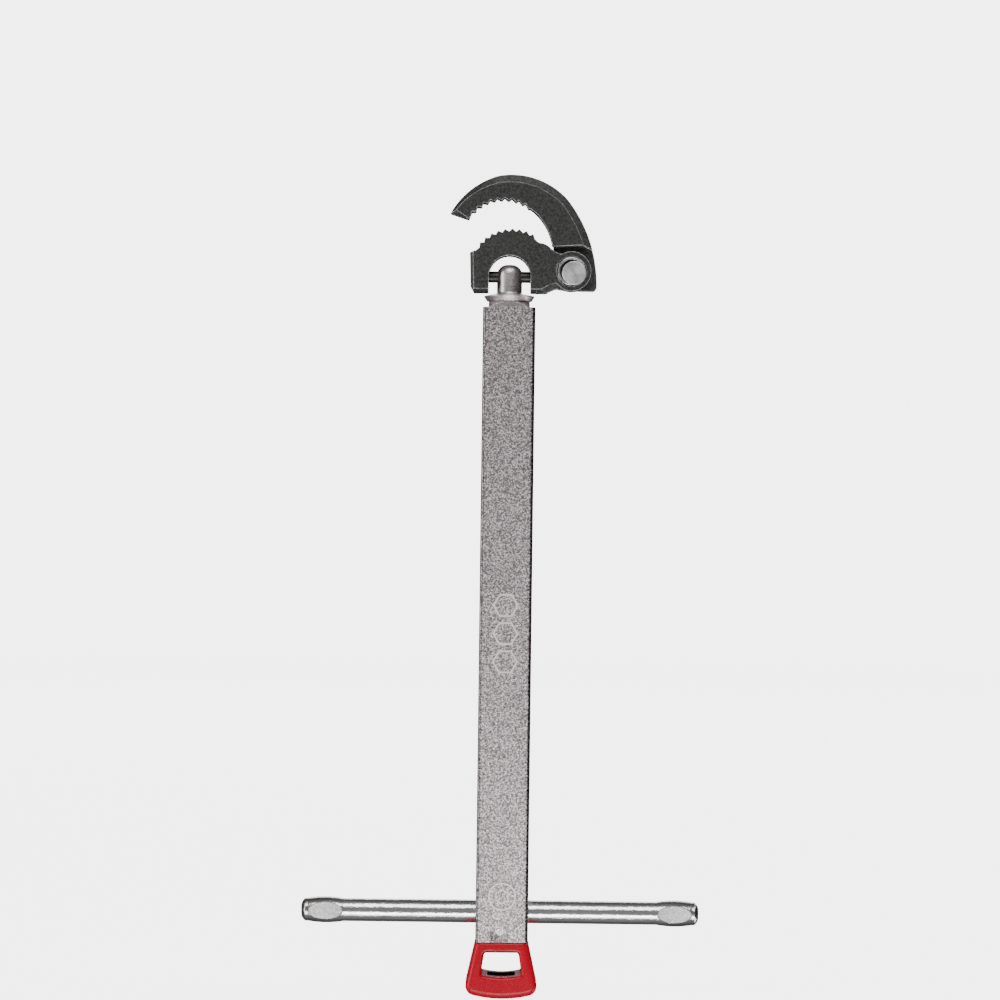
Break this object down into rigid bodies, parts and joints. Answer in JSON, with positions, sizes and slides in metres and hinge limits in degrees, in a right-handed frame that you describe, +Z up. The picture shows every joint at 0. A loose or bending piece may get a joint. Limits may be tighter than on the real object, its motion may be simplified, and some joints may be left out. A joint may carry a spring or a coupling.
{
  "type": "basin wrench",
  "caption": "Telescoping basin wrench with a spring-loaded hook jaw on a tipping head, a square sliding shank, a sliding T-bar and a square drive loop.",
  "frame": {"origin": "bottom centre of the drive loop, on the shank's axis, at the mouth of the square drive hole", "axes": "+Z up the shank towards the head, +X along the T-bar towards the jaws' hinge, -Y towards the face that shows the hinge pin's head"},
  "size_m": [0.1388, 0.019, 0.2872],
  "materials": {
    "tube": "blasted and plated, satin",
    "bar": "blasted and plated, satin",
    "bright_steel": "bright",
    "spring_steel": "bright drawn wire",
    "black_steel": "black oxide",
    "t_bar": "polished plating",
    "insert": "dark cast steel",
    "grip": "red moulded, satin gloss",
    "jaw": "black phosphate on forged steel",
    "rivet": "bright, lightly turned"
  },
  "bodies": {
    "shank": {"outer_tube": "tube", "stop_pin": "bright_steel", "loop_core": "insert", "loop_grip": "grip", "t_bar_ball": "bright_steel", "t_bar_spring": "spring_steel", "t_bar_set_screw": "black_steel"},
    "extension": {"extension_bar": "bar", "detent_ball": "bright_steel", "detent_spring": "spring_steel"},
    "head": {"heel_jaw": "jaw", "head_pivot_pin": "bright_steel", "jaw_pivot_pin": "rivet", "jaw_pin_washer": "rivet", "jaw_spring": "spring_steel"},
    "hook": {"hook_jaw": "jaw"},
    "cross_bar": {"t_bar": "t_bar"}
  },
  "joints": [
    {"name": "shank_extension", "type": "slide", "parent": "shank", "child": "extension", "axis": [0, 0, 1], "range_m": [0, 0.152]},
    {"name": "head_tip", "type": "hinge", "parent": "extension", "child": "head", "pos_m": [0, 0, 0.2515], "axis": [1, 0, 0], "range_deg": [-90, 90]},
    {"name": "hook_swing", "type": "hinge", "parent": "head", "child": "hook", "pos_m": [0.0224, 0, 0.2528], "axis": [0, 1, 0], "range_deg": [0, 50], "stiffness_Nm_per_rad": 0.06, "springref_deg": -57.3, "deforming": ["jaw_spring"]},
    {"name": "t_bar_slide", "type": "slide", "parent": "shank", "child": "cross_bar", "axis": [1, 0, 0], "range_m": [-0.044, 0.044]}
  ]
}
